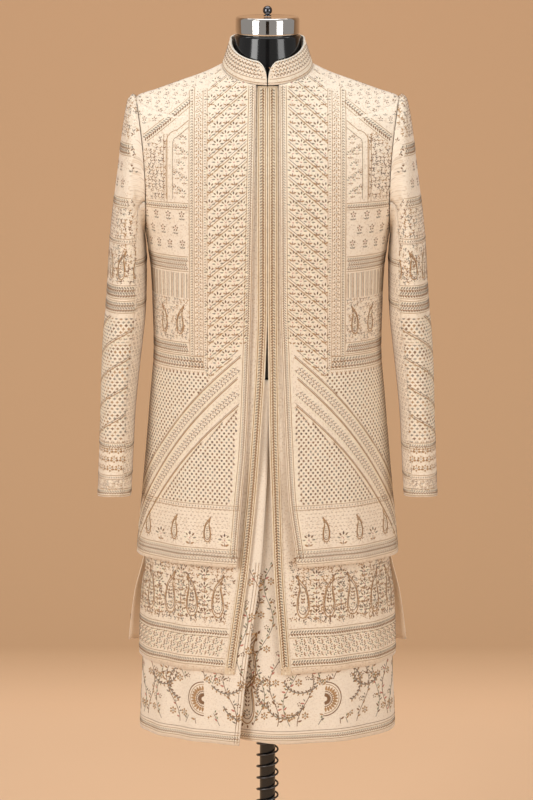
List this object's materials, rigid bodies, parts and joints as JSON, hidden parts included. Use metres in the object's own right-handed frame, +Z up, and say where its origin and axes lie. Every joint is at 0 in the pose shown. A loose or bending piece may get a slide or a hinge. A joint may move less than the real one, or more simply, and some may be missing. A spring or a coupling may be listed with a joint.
{
  "type": "sherwani coat on a dress form",
  "caption": "Three-layer embroidered ivory sherwani coat with a stand collar, on a black limbless dress form with a chrome neck cap and a pole stand.",
  "frame": {"origin": "centre of the base plate's underside, on the pole's axis", "axes": "+Z up, the coat's front faces -Y, the wearer's left side is +X"},
  "size_m": [0.576, 0.37, 1.6137],
  "materials": {
    "jacket_cloth": "ivory silk covered with gold, grey and brown thread work",
    "coat_cloth": "ivory silk with stripes and borders in gold and grey thread",
    "tier_cloth": "soft ivory silk with open vine embroidery",
    "band": "close gold and grey thread work",
    "piping": "plain ivory silk over a cord, slight sheen",
    "form_cover": "smooth black cover, matt",
    "chrome": "polished",
    "dark_chrome": "dark polished",
    "stand_black": "gloss black paint",
    "spring_steel": "bare spring wire"
  },
  "bodies": {
    "root": {"jacket_front_left": "jacket_cloth", "jacket_front_right": "jacket_cloth", "jacket_back": "jacket_cloth", "sleeve_top_left": "jacket_cloth", "sleeve_top_right": "jacket_cloth", "sleeve_under_left": "jacket_cloth", "sleeve_under_right": "jacket_cloth", "collar": "jacket_cloth", "collar_piping": "piping", "coat_front_left": "coat_cloth", "coat_front_right": "coat_cloth", "coat_band_left": "band", "coat_band_right": "band", "coat_back": "coat_cloth", "tier_front_left": "tier_cloth", "tier_front_right": "tier_cloth", "tier_back": "tier_cloth", "form_body": "form_cover", "neck_cap": "chrome", "cap_knob": "dark_chrome", "form_socket": "stand_black", "pole": "stand_black", "pole_spring": "spring_steel", "pole_hub": "stand_black", "base_plate": "stand_black"}
  },
  "joints": []
}
